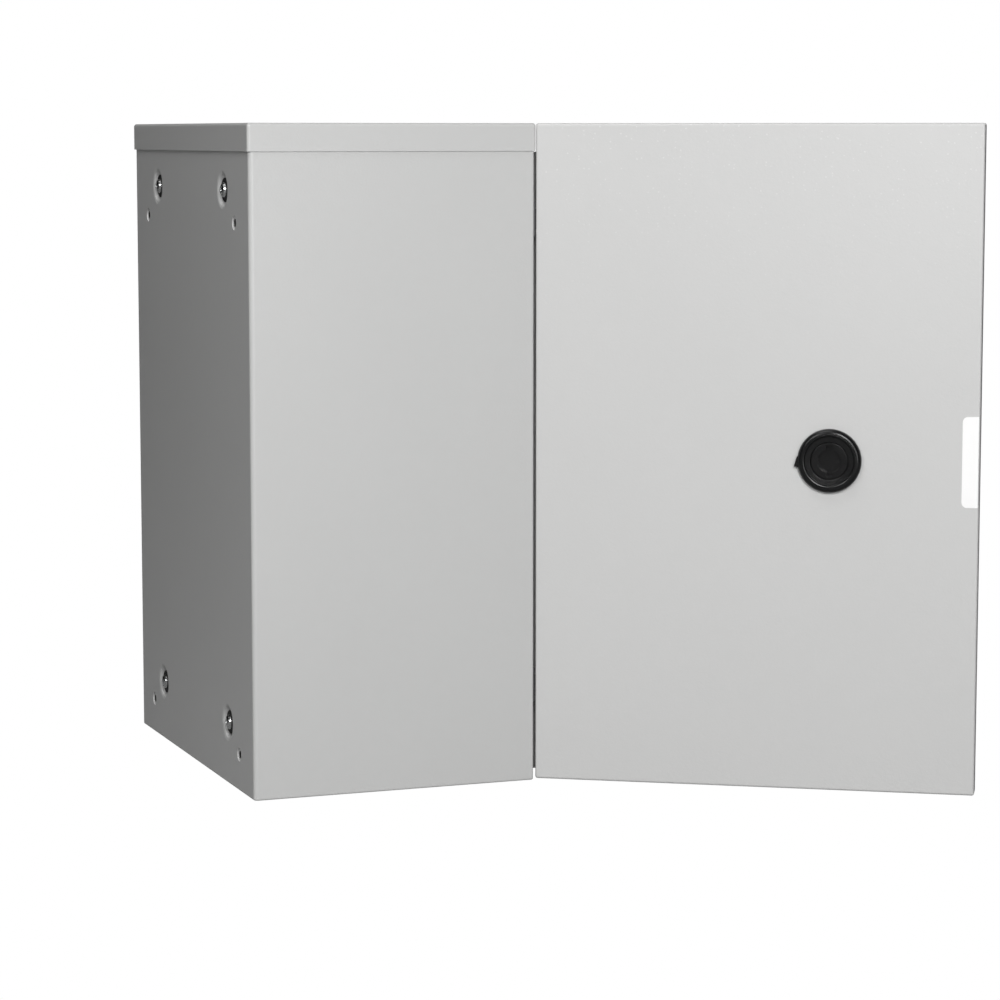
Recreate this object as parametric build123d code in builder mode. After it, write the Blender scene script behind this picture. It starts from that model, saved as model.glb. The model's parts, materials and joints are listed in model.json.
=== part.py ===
"""Wall-mounting battery box: a folded sheet-steel cabinet, its capped top and its side-hung door.

Millimetres. The origin is the centre of the base, on the surface that the box stands on.
+Z is up, the door closes the -Y side and +Y is the wall side. The door hangs on the -X side.
The door's pieces are modelled shut and then swung open together about the hinge line.
"""
from build123d import *
import os

# ---------------------------------------------------------------- driving dimensions
HEIGHT = 450.0              # floor to the top of the cap
WIDTH = 300.0               # across the side walls
DEPTH = 200.0               # front rim to back wall
SHEET = 1.2                 # body sheet
BODY_BEND = 3.0             # outside radius of the folds between back and sides
RIM_BEND = 1.3              # outside radius of the rim's and the floor's tighter folds
OPEN_ANGLE = 122.0          # door's travel, shut to its open stop

# ---------------------------------------------------------------- body
HALF_W = WIDTH / 2
HALF_D = DEPTH / 2
CAP_SHEET = 1.0
CAP_CLEARANCE = 0.1         # cap skirt to body walls
CAP_SKIRT = 18.6            # height of the skirt
CAP_BEND = 2.0
CAP_GASKET = 2.2
BODY_TOP = HEIGHT - CAP_SHEET - CAP_GASKET
RIM = 20.0                  # width of the flange around the front opening
LIP = 10.0                  # how far the rim's lip stands forward
LIP_BOTTOM = 4.0            # the two side lips run on, down to here
LIP_GAP = 0.6               # side lips' upper ends to the cap's skirt
OPENING_CORNER = 4.4
TOP_FLANGE = 24.0           # flange that the cap is bolted to
FLANGE_STUD_IN = 18.0       # cap studs to the body's outer faces
CAP_HOLE_R = 3.0

# ---------------------------------------------------------------- back fixings
PLATE_BOLT_X = 86.0
PLATE_BOLT_Z = (42.5, 405.5)
DIMPLE_R = 11.4
DIMPLE_FLOOR_R = 9.0
DIMPLE_DEPTH = 3.0
DIMPLE_EDGE = 1.6           # width of the soft edge round each dimple
DIMPLE_EDGE_DEPTH = 0.45
BOLT_R = 3.0
BOLT_HOLE_R = 3.2
INSERT_X = 114.0
INSERT_Z = (25.0, 384.0)
INSERT_R = 2.5              # tapping size of an M6 thread
PIT_R = 4.8
PIT_DEPTH = 1.1
PIT_BORE_R = 3.6
PIT_WALL = 0.8

# ---------------------------------------------------------------- equipment plate
PLATE_W = 250.0
PLATE_H = 400.0
PLATE_T = 2.0
PLATE_STANDOFF = 10.0

# ---------------------------------------------------------------- door
DOOR_W = 300.0
DOOR_BOTTOM = 1.0
DOOR_SHEET = 1.5
DOOR_BEND = 1.6
DOOR_FRONT = -HALF_D - 17.3
DOOR_PAN = 14.1             # depth of the folded edge
HINGE_IN = 4.5              # hinge line to the door's hinge-side edge
HINGE_BACK = 8.1            # hinge line to the door's outer face
HINGE_X = -DOOR_W / 2 + HINGE_IN
HINGE_Y = DOOR_FRONT + HINGE_BACK
HINGE_OFFSET = 160.0        # each hinge above or below the door's middle
PIN_R = 2.0
RUNNING = 0.05              # radial clearance of a running fit
DOOR_INSIDE = DOOR_FRONT + DOOR_SHEET
DOOR_MID_Z = (DOOR_BOTTOM + HEIGHT) / 2

# ---------------------------------------------------------------- lock
LOCK_X = -DOOR_W / 2 + 200.5
LOCK_FLANGE_R = 21.5
LOCK_BARREL_R = 14.5
LOCK_CORE_R = 12.6
LOCK_SHANK_R = 7.0
LOCK_SQUARE = 8.0
CAM_REACH = 91.0
CAM_T = 3.0
CAM_Y = -HALF_D + SHEET + 1.2   # front face of the cam, just behind the rim
BARREL_END = CAM_Y - 0.8

HINGE_LINE = Axis((HINGE_X, HINGE_Y, 0), (0, 0, 1))


def save(part, name):
    """Label a finished piece and write it as its own STEP file."""
    part.label = name
    export_step(part, f"parts/{name}.step")


def save_open(part, name):
    """Write a piece of the door after swinging it from shut to open."""
    save(part.rotate(HINGE_LINE, -OPEN_ANGLE), name)


def facing_back(y):
    """A plane at depth y whose normal points to the wall: local x is -X and local y is Z."""
    return Plane(origin=(0, y, 0), x_dir=(-1, 0, 0), z_dir=(0, 1, 0))


def facing_front(y):
    """A plane at depth y whose normal points to the front: local x is X and local y is Z."""
    return Plane(origin=(0, y, 0), x_dir=(1, 0, 0), z_dir=(0, -1, 0))


def rings(plane, places, outer_r, bore_r, thickness, edge=0.0):
    """Washers, sleeves or round plugs, one at each place on the plane."""
    with BuildPart() as group:
        with BuildSketch(plane):
            with Locations(*places):
                Circle(outer_r)
                if bore_r > 0:
                    Circle(bore_r, mode=Mode.SUBTRACT)
        extrude(amount=thickness)
        if edge > 0:
            rims = group.edges().filter_by(GeomType.CIRCLE)
            chamfer(rims.filter_by(lambda e: abs(e.radius - outer_r) < 0.01), edge)
    return group.part


def hex_nuts(plane, places, across_flats, bore_r, height):
    """Plain hexagon nuts, one at each place on the plane, with bevelled faces."""
    bevel = 0.05 * across_flats
    with BuildPart() as group:
        with BuildSketch(plane):
            with Locations(*places):
                RegularPolygon(across_flats / 2, 6, major_radius=False)
        extrude(amount=height)
        chamfer(group.edges().filter_by(GeomType.LINE).filter_by(
            lambda e: abs(e.tangent_at(0).dot(plane.z_dir)) < 0.1), bevel)
        with BuildSketch(plane):
            with Locations(*places):
                Circle(bore_r)
        extrude(amount=height, mode=Mode.SUBTRACT)
    return group.part


def frame_ring(plane, outer_x, outer_y, inner_x, inner_y, middle, corner, thickness):
    """A flat rectangular ring with rounded corners, as a gasket is."""
    with BuildPart() as ring:
        with BuildSketch(plane):
            with Locations(middle):
                RectangleRounded(outer_x, outer_y, corner)
                RectangleRounded(inner_x, inner_y, corner / 2, mode=Mode.SUBTRACT)
        extrude(amount=thickness)
    return ring.part


def revolve_profile(points, x, z):
    """Turn an (r, y) outline about the line through (x, z) that runs along Y."""
    section = Plane(origin=(x, 0, z), x_dir=(1, 0, 0), z_dir=(0, 0, 1))
    with BuildPart() as turned:
        with BuildSketch(section):
            with BuildLine():
                Polyline(*points, close=True)
            make_face()
        revolve(axis=Axis((x, 0, z), (0, 1, 0)))
    return turned.part


os.makedirs("parts", exist_ok=True)

M6_FLATS = 10.0
M5_FLATS = 8.0
M4_FLATS = 7.0
M4_R = 2.0
M4_NUT = 3.2
WASHER_PLAY = 0.2           # radial play of a washer on its stud

BACK_BOLTS = [(x, z) for x in (-PLATE_BOLT_X, PLATE_BOLT_X) for z in PLATE_BOLT_Z]
BACK_INSERTS = [(x, z) for x in (-INSERT_X, INSERT_X) for z in INSERT_Z]
BACK_INSIDE = HALF_D - SHEET
CAP_STUD_X = HALF_W - FLANGE_STUD_IN
CAP_STUD_Y = HALF_D - FLANGE_STUD_IN
CAP_STUDS = [(x, y) for x in (-CAP_STUD_X, CAP_STUD_X) for y in (-CAP_STUD_Y, CAP_STUD_Y)]

# ---------------------------------------------------------------- gland plate opening in the floor
GLAND_Y = 48.0
GLAND_OPEN_X = 200.0
GLAND_OPEN_Y = 60.0
GLAND_W = 226.0
GLAND_D = 86.0
GLAND_T = 1.5
GLAND_GASKET = 2.0
GLAND_CORNER = 5.0
GLAND_HOLE_R = 2.3
GLAND_STUDS = [(x, GLAND_Y + y) for x in (-106.0, 0.0, 106.0) for y in (-36.5, 36.5)]

# ================================================================ body shell
OPENING_W = WIDTH - 2 * (RIM + SHEET)
OPENING_TOP = BODY_TOP - RIM - SHEET
OPENING_BOTTOM = RIM + SHEET
OPENING_H = OPENING_TOP - OPENING_BOTTOM
OPENING_MID = (OPENING_TOP + OPENING_BOTTOM) / 2
LIP_X = (OPENING_W + SHEET) / 2
LIP_TOP = HEIGHT - CAP_SKIRT - LIP_GAP
DIMPLE_INSIDE = BACK_INSIDE - DIMPLE_DEPTH
FOOT_SCREW_X = HINGE_X + 5.7
FOOT_SCREW_Z = 7.0          # each screw above or below its hinge's middle
FOOT_SCREWS = [(FOOT_SCREW_X, DOOR_MID_Z + side * HINGE_OFFSET + up * FOOT_SCREW_Z)
               for side in (-1, 1) for up in (-1, 1)]

with BuildPart() as body_shell:
    # The folded box, with its outside bends.
    with BuildSketch(Plane.XY):
        Rectangle(WIDTH, DEPTH)
    extrude(amount=BODY_TOP)
    fillet(body_shell.edges().filter_by(Axis.Z).group_by(Axis.Y)[-1], BODY_BEND)
    rim_uprights = body_shell.edges().filter_by(Axis.Z).group_by(Axis.Y)[0]
    base_edges = body_shell.faces().sort_by(Axis.Z)[0].edges()
    fillet(rim_uprights + base_edges, RIM_BEND)
    with BuildSketch(Plane.XY.offset(SHEET)):
        RectangleRounded(WIDTH - 2 * SHEET, DEPTH - 2 * SHEET, BODY_BEND - SHEET)
    extrude(amount=BODY_TOP - 2 * SHEET, mode=Mode.SUBTRACT)
    # The open top, inside the flange that the cap sits on.
    with BuildSketch(Plane.XY.offset(BODY_TOP - SHEET)):
        RectangleRounded(WIDTH - 2 * TOP_FLANGE, DEPTH - 2 * TOP_FLANGE, OPENING_CORNER)
    extrude(amount=SHEET, mode=Mode.SUBTRACT)
    with BuildSketch(Plane.XY.offset(BODY_TOP - SHEET)):
        with Locations(*CAP_STUDS):
            Circle(CAP_HOLE_R)
    extrude(amount=SHEET, mode=Mode.SUBTRACT)
    # The front opening and the rain lip that stands forward round it.
    with BuildSketch(facing_front(-HALF_D + SHEET)):
        with Locations((0, OPENING_MID)):
            RectangleRounded(OPENING_W + 2 * SHEET, OPENING_H + 2 * SHEET, OPENING_CORNER)
        for side_x in (-LIP_X, LIP_X):
            with Locations((side_x, (LIP_TOP + LIP_BOTTOM) / 2)):
                Rectangle(SHEET, LIP_TOP - LIP_BOTTOM)
    extrude(amount=SHEET + LIP)
    with BuildSketch(facing_front(-HALF_D + SHEET)):
        with Locations((0, OPENING_MID)):
            RectangleRounded(OPENING_W, OPENING_H, OPENING_CORNER - SHEET)
    extrude(amount=SHEET + LIP, mode=Mode.SUBTRACT)
    # The gland plate's opening in the floor.
    with BuildSketch(Plane.XY):
        with Locations((0, GLAND_Y)):
            RectangleRounded(GLAND_OPEN_X, GLAND_OPEN_Y, GLAND_CORNER)
    extrude(amount=SHEET, mode=Mode.SUBTRACT)
    # Four pressed dimples that sink the equipment plate's bolts.
    for bolt_x, bolt_z in BACK_BOLTS:
        dimple = [(0, BACK_INSIDE + 0.4), (DIMPLE_R + SHEET, BACK_INSIDE + 0.4),
                  (DIMPLE_R + SHEET, BACK_INSIDE), (DIMPLE_FLOOR_R + SHEET, DIMPLE_INSIDE),
                  (0, DIMPLE_INSIDE)]
        add(revolve_profile(dimple, bolt_x, bolt_z))
    for bolt_x, bolt_z in BACK_BOLTS:
        hollow = [(0, HALF_D + 1.0), (DIMPLE_R + DIMPLE_EDGE, HALF_D + 1.0),
                  (DIMPLE_R + DIMPLE_EDGE, HALF_D), (DIMPLE_R, HALF_D - DIMPLE_EDGE_DEPTH),
                  (DIMPLE_FLOOR_R + 0.5, HALF_D - DIMPLE_DEPTH + 0.5),
                  (DIMPLE_FLOOR_R - 0.3, HALF_D - DIMPLE_DEPTH), (0, HALF_D - DIMPLE_DEPTH)]
        add(revolve_profile(hollow, bolt_x, bolt_z), mode=Mode.SUBTRACT)
    with BuildSketch(facing_back(HALF_D - DIMPLE_DEPTH)):
        with Locations(*BACK_BOLTS):
            Circle(BOLT_HOLE_R)
    extrude(amount=-SHEET, mode=Mode.SUBTRACT)
    # Four shallow pits for the wall bracket inserts.
    with BuildSketch(facing_back(BACK_INSIDE)):
        with Locations(*BACK_INSERTS):
            Circle(PIT_R + PIT_WALL)
    extrude(amount=-PIT_DEPTH)
    with BuildSketch(facing_back(HALF_D)):
        with Locations(*BACK_INSERTS):
            Circle(PIT_R)
    extrude(amount=-PIT_DEPTH, mode=Mode.SUBTRACT)
    with BuildSketch(facing_back(HALF_D)):
        with Locations(*BACK_INSERTS):
            Circle(PIT_BORE_R)
    extrude(amount=-PIT_DEPTH - SHEET, mode=Mode.SUBTRACT)
    # Two clearance holes for each hinge arm's screws, through the rim on the hinge side.
    with BuildSketch(facing_front(-HALF_D + SHEET)):
        with Locations(*FOOT_SCREWS):
            Circle(M4_R)
    extrude(amount=SHEET, mode=Mode.SUBTRACT)
save(body_shell.part, "body_shell")

# ================================================================ top cap
CAP_W = WIDTH + 2 * (CAP_SHEET + CAP_CLEARANCE)
CAP_D = DEPTH + 2 * (CAP_SHEET + CAP_CLEARANCE)

with BuildPart() as top_cover:
    with BuildSketch(Plane.XY.offset(HEIGHT - CAP_SKIRT)):
        RectangleRounded(CAP_W, CAP_D, CAP_BEND)
    extrude(amount=CAP_SKIRT)
    fillet(top_cover.faces().sort_by(Axis.Z)[-1].edges(), CAP_BEND)
    with BuildSketch(Plane.XY.offset(HEIGHT - CAP_SKIRT)):
        RectangleRounded(CAP_W - 2 * CAP_SHEET, CAP_D - 2 * CAP_SHEET, CAP_BEND - CAP_SHEET)
    extrude(amount=CAP_SKIRT - CAP_SHEET, mode=Mode.SUBTRACT)
save(top_cover.part, "top_cover")

GASKET_CORNER = 4.0
CAP_GASKET_W = 10.0
CAP_GASKET_X = WIDTH - 3.0
CAP_GASKET_Y = DEPTH - 3.0
top_gasket = frame_ring(Plane.XY.offset(BODY_TOP), CAP_GASKET_X, CAP_GASKET_Y,
                        CAP_GASKET_X - 2 * CAP_GASKET_W, CAP_GASKET_Y - 2 * CAP_GASKET_W,
                        (0, 0), GASKET_CORNER, CAP_GASKET)
save(top_gasket, "top_cover_gasket")

CAP_STUD_R = 2.5
CAP_STUD_LENGTH = 14.0
CAP_WASHER_R = 5.0
CAP_WASHER_BORE_R = 2.7
CAP_WASHER = 1.0
CAP_NUT = 4.0
cap_studs = rings(Plane.XY.offset(HEIGHT - CAP_SHEET), CAP_STUDS, CAP_STUD_R, 0, -CAP_STUD_LENGTH)
save(cap_studs, "top_cover_studs")
cap_washers = rings(Plane.XY.offset(BODY_TOP - SHEET), CAP_STUDS, CAP_WASHER_R,
                    CAP_WASHER_BORE_R, -CAP_WASHER)
save(cap_washers, "top_cover_washers")
cap_nuts = hex_nuts(Plane.XY.offset(BODY_TOP - SHEET - CAP_WASHER - CAP_NUT), CAP_STUDS,
                    M5_FLATS, CAP_STUD_R, CAP_NUT)
save(cap_nuts, "top_cover_nuts")

# ================================================================ gland plate in the floor
GLAND_GASKET_IN = 1.0       # gasket's edges inside the plate's and outside the opening's
gland_gasket = frame_ring(Plane.XY.offset(SHEET), GLAND_W - GLAND_GASKET_IN, GLAND_D - GLAND_GASKET_IN,
                          GLAND_OPEN_X + GLAND_GASKET_IN, GLAND_OPEN_Y + GLAND_GASKET_IN,
                          (0, GLAND_Y), GASKET_CORNER, GLAND_GASKET)
with BuildPart() as gland_gasket_holed:
    add(gland_gasket)
    with BuildSketch(Plane.XY.offset(SHEET)):
        with Locations(*GLAND_STUDS):
            Circle(GLAND_HOLE_R)
    extrude(amount=GLAND_GASKET, mode=Mode.SUBTRACT)
save(gland_gasket_holed.part, "gland_plate_gasket")

GLAND_TOP = SHEET + GLAND_GASKET + GLAND_T
with BuildPart() as gland_plate:
    with BuildSketch(Plane.XY.offset(SHEET + GLAND_GASKET)):
        with Locations((0, GLAND_Y)):
            RectangleRounded(GLAND_W, GLAND_D, GASKET_CORNER)
        with Locations(*GLAND_STUDS):
            Circle(GLAND_HOLE_R, mode=Mode.SUBTRACT)
    extrude(amount=GLAND_T)
save(gland_plate.part, "gland_plate")

GLAND_STUD_LENGTH = 9.0
GLAND_WASHER = 0.8
GLAND_WASHER_R = 4.5
gland_studs = rings(Plane.XY.offset(SHEET), GLAND_STUDS, M4_R, 0, GLAND_STUD_LENGTH)
save(gland_studs, "gland_plate_studs")
gland_washers = rings(Plane.XY.offset(GLAND_TOP), GLAND_STUDS, GLAND_WASHER_R,
                      M4_R + WASHER_PLAY, GLAND_WASHER)
save(gland_washers, "gland_plate_washers")
gland_nuts = hex_nuts(Plane.XY.offset(GLAND_TOP + GLAND_WASHER), GLAND_STUDS, M4_FLATS, M4_R, M4_NUT)
save(gland_nuts, "gland_plate_nuts")

# ================================================================ equipment plate and its bolts
PLATE_BACK = DIMPLE_INSIDE - PLATE_STANDOFF
PLATE_FRONT = PLATE_BACK - PLATE_T
PLATE_CORNER = 8.0
SPACER_R = 6.0
WASHER_T = 1.5
PLATE_WASHER_T = 1.6
PLATE_NUT = 5.0
BOLT_PAST_NUT = 3.6
BOLT_END = PLATE_FRONT - PLATE_WASHER_T - PLATE_NUT - BOLT_PAST_NUT
BOLT_HEAD_R = 5.0
BOLT_HEAD = 2.6
CROSS_SPAN = 5.0            # cross recess of the bolts' heads
CROSS_SLOT = 1.3
CROSS_DEPTH = 1.9
CROSS_TAPER = 12
HEAD_Y = HALF_D - DIMPLE_DEPTH + WASHER_T

with BuildPart() as mounting_plate:
    with BuildSketch(facing_front(PLATE_BACK)):
        with Locations((0, (PLATE_BOLT_Z[0] + PLATE_BOLT_Z[1]) / 2)):
            RectangleRounded(PLATE_W, PLATE_H, PLATE_CORNER)
        with Locations(*BACK_BOLTS):
            Circle(BOLT_HOLE_R, mode=Mode.SUBTRACT)
    extrude(amount=PLATE_T)
save(mounting_plate.part, "mounting_plate")

with BuildPart() as mounting_bolts:
    for bolt_x, bolt_z in BACK_BOLTS:
        pan_head = [(0, HEAD_Y + BOLT_HEAD), (2.6, HEAD_Y + 2.45), (4.2, HEAD_Y + 1.7),
                    (BOLT_HEAD_R, HEAD_Y + 0.4), (BOLT_HEAD_R, HEAD_Y), (BOLT_R, HEAD_Y),
                    (BOLT_R, BOLT_END + 0.6), (BOLT_R - 0.6, BOLT_END), (0, BOLT_END)]
        add(revolve_profile(pan_head, bolt_x, bolt_z))
    with BuildSketch(facing_back(HEAD_Y + BOLT_HEAD + 0.1)):
        for bolt_x, bolt_z in BACK_BOLTS:
            with Locations((-bolt_x, bolt_z)):
                Rectangle(CROSS_SPAN, CROSS_SLOT)
                Rectangle(CROSS_SLOT, CROSS_SPAN)
    extrude(amount=-CROSS_DEPTH, taper=CROSS_TAPER, mode=Mode.SUBTRACT)
save(mounting_bolts.part, "mounting_bolts")

SEALING_R = 8.2
SEALING_BORE_R = BOLT_R + RUNNING
SEALING_EDGE = 0.35
sealing_washers = rings(facing_back(HALF_D - DIMPLE_DEPTH), BACK_BOLTS, SEALING_R, SEALING_BORE_R,
                        WASHER_T, SEALING_EDGE)
save(sealing_washers, "sealing_washers")
plate_spacers = rings(facing_front(DIMPLE_INSIDE), BACK_BOLTS, SPACER_R, BOLT_HOLE_R, PLATE_STANDOFF)
save(plate_spacers, "plate_spacers")
plate_washers = rings(facing_front(PLATE_FRONT), BACK_BOLTS, SPACER_R, BOLT_HOLE_R, PLATE_WASHER_T)
save(plate_washers, "plate_washers")
plate_nuts = hex_nuts(facing_front(PLATE_FRONT - PLATE_WASHER_T), BACK_BOLTS, M6_FLATS, BOLT_R, PLATE_NUT)
save(plate_nuts, "plate_nuts")

# Closed-end threaded inserts that take the screws of wall brackets.
INSERT_LENGTH = 12.0
INSERT_END = 1.2            # thickness of the closed inner end, which keeps water out
INSERT_BODY_R = 3.5
INSERT_BULGE_R = 4.6
with BuildPart() as wall_bracket_inserts:
    for insert_x, insert_z in BACK_INSERTS:
        seat = HALF_D - PIT_DEPTH
        outline = [(INSERT_R, seat + 0.3), (4.0, seat + 0.3), (4.2, seat + 0.1), (4.2, seat),
                   (INSERT_BODY_R, seat), (INSERT_BODY_R, seat - SHEET),
                   (INSERT_BULGE_R, seat - SHEET - 0.6), (INSERT_BULGE_R, seat - SHEET - 1.4),
                   (INSERT_BODY_R, seat - SHEET - 2.2), (INSERT_BODY_R, seat - INSERT_LENGTH),
                   (0, seat - INSERT_LENGTH), (0, seat - INSERT_LENGTH + INSERT_END),
                   (INSERT_R, seat - INSERT_LENGTH + INSERT_END)]
        add(revolve_profile(outline, insert_x, insert_z))
save(wall_bracket_inserts.part, "wall_bracket_inserts")

# ================================================================ earthing studs
EARTH_R = 3.0
EARTH_ROOT_R = 2.7          # inside the washer and nut, where the threads mesh
EARTH_NUT = 5.0
EARTH_WASHER = 1.6
EARTH_WASHER_R = 6.2
EARTH_CLAMP = EARTH_WASHER + EARTH_NUT
EARTH_TIP = 0.5
BODY_EARTH_LENGTH = 16.0
DOOR_EARTH_LENGTH = 14.0


def earth_stud(plane, place, length):
    """A weld stud whose free end, beyond its nut, takes a ring terminal."""
    with BuildPart() as stud:
        add(rings(plane, [place], EARTH_ROOT_R, 0, EARTH_CLAMP))
        add(rings(plane.offset(EARTH_CLAMP), [place], EARTH_R, 0, length - EARTH_CLAMP))
        tip = stud.faces().sort_by(Axis(plane.origin, plane.z_dir))[-1]
        chamfer(tip.edges(), EARTH_TIP)
    return stud.part


body_earth_plane = Plane(origin=(-HALF_W + SHEET, -55.0, 45.0), x_dir=(0, 1, 0), z_dir=(1, 0, 0))
save(earth_stud(body_earth_plane, (0, 0), BODY_EARTH_LENGTH), "body_earth_stud")
body_earth_washer = rings(body_earth_plane, [(0, 0)], EARTH_WASHER_R, EARTH_R + WASHER_PLAY,
                          EARTH_WASHER)
save(body_earth_washer, "body_earth_washer")
body_earth_nut = hex_nuts(body_earth_plane.offset(EARTH_WASHER), [(0, 0)], M6_FLATS,
                          EARTH_ROOT_R, EARTH_NUT)
save(body_earth_nut, "body_earth_nut")

DOOR_EARTH_X = -100.0
DOOR_EARTH_Z = 50.0
door_earth_plane = facing_back(DOOR_INSIDE)
door_earth = (-DOOR_EARTH_X, DOOR_EARTH_Z)
save_open(earth_stud(door_earth_plane, door_earth, DOOR_EARTH_LENGTH), "door_earth_stud")
door_earth_washer = rings(door_earth_plane, [door_earth], EARTH_WASHER_R, EARTH_R + WASHER_PLAY,
                          EARTH_WASHER)
save_open(door_earth_washer, "door_earth_washer")
door_earth_nut = hex_nuts(door_earth_plane.offset(EARTH_WASHER), [door_earth], M6_FLATS,
                          EARTH_ROOT_R, EARTH_NUT)
save_open(door_earth_nut, "door_earth_nut")

# ================================================================ door panel
NOTCH_HALF = 14.0           # room for a hinge arm and its foot
NOTCH_FRONT = DOOR_FRONT + 2.5
LOCK_HOLE_R = LOCK_BARREL_R + 0.3
HINGES = {"lower": DOOR_MID_Z - HINGE_OFFSET, "upper": DOOR_MID_Z + HINGE_OFFSET}

with BuildPart() as door_panel:
    with BuildSketch(facing_front(DOOR_FRONT + DOOR_PAN)):
        with Locations((0, DOOR_MID_Z)):
            RectangleRounded(DOOR_W, HEIGHT - DOOR_BOTTOM, DOOR_BEND)
    extrude(amount=DOOR_PAN)
    fillet(door_panel.faces().sort_by(Axis.Y)[0].edges(), DOOR_BEND)
    with BuildSketch(facing_front(DOOR_FRONT + DOOR_PAN)):
        with Locations((0, DOOR_MID_Z)):
            RectangleRounded(DOOR_W - 2 * DOOR_SHEET, HEIGHT - DOOR_BOTTOM - 2 * DOOR_SHEET,
                             DOOR_BEND - DOOR_SHEET)
    extrude(amount=DOOR_PAN - DOOR_SHEET, mode=Mode.SUBTRACT)
    # Notches in the folded edge, where the concealed hinges pass.
    with BuildSketch(facing_front(DOOR_FRONT + DOOR_PAN)):
        for hinge_z in HINGES.values():
            with Locations((-DOOR_W / 2, hinge_z)):
                Rectangle(2.4 * DOOR_SHEET, 2 * NOTCH_HALF)
    extrude(amount=DOOR_FRONT + DOOR_PAN - NOTCH_FRONT, mode=Mode.SUBTRACT)
    # The lock's cut-out.
    with BuildSketch(facing_front(DOOR_INSIDE)):
        with Locations((LOCK_X, DOOR_MID_Z)):
            Circle(LOCK_HOLE_R)
    extrude(amount=DOOR_SHEET, mode=Mode.SUBTRACT)
save_open(door_panel.part, "door_panel")

# The foam strip that the rain lip presses into.
GASKET_W = 10.0
GASKET_T = 5.3
RING_W = OPENING_W + SHEET
RING_H = OPENING_H + SHEET
door_gasket = frame_ring(facing_back(DOOR_INSIDE), RING_W + GASKET_W, RING_H + GASKET_W,
                         RING_W - GASKET_W, RING_H - GASKET_W, (0, OPENING_MID),
                         OPENING_CORNER, GASKET_T)
save_open(door_gasket, "door_gasket")

# A blank white label on the outer face, beside the free edge.
LABEL_W = 10.7
LABEL_H = 60.8
LABEL_T = 0.2
LABEL_CORNER = 3.6
LABEL_IN = 0.9              # label's outer edge to the door's
LABEL_RISE = 0.6            # label's middle above the door's
with BuildPart() as edge_label:
    with BuildSketch(facing_front(DOOR_FRONT)) as label_face:
        with Locations((DOOR_W / 2 - LABEL_IN - LABEL_W / 2, DOOR_MID_Z + LABEL_RISE)):
            Rectangle(LABEL_W, LABEL_H)
        fillet(label_face.vertices().group_by(Axis.X)[0], LABEL_CORNER)
    extrude(amount=LABEL_T)
save_open(edge_label.part, "edge_label")

# ================================================================ concealed hinges
KNUCKLE_R = 3.2
ARM_HALF = 7.0              # half the height of the arm's knuckle
EAR_GAP = 0.3
EAR_T = 5.0
WEB_T = 3.0
FOOT_T = 2.0
FOOT_HALF = 12.0
FOOT_X0 = HINGE_X - 1.8
FOOT_X1 = HINGE_X + 12.6
BRACKET_HALF = 26.0
BRACKET_T = 2.0
BRACKET_X0 = HINGE_X - 2.8
BRACKET_X1 = HINGE_X + 9.0
BRACKET_STUD_X = HINGE_X + 3.9
BRACKET_STUD_Z = 20.0
BRACKET_STUD_LENGTH = 6.0
BRACKET_CORNER = 1.5
M4_HOLE_R = M4_R + 0.1
PIN_HEAD_R = PIN_R + 0.9
PIN_HEAD = 1.2

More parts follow.
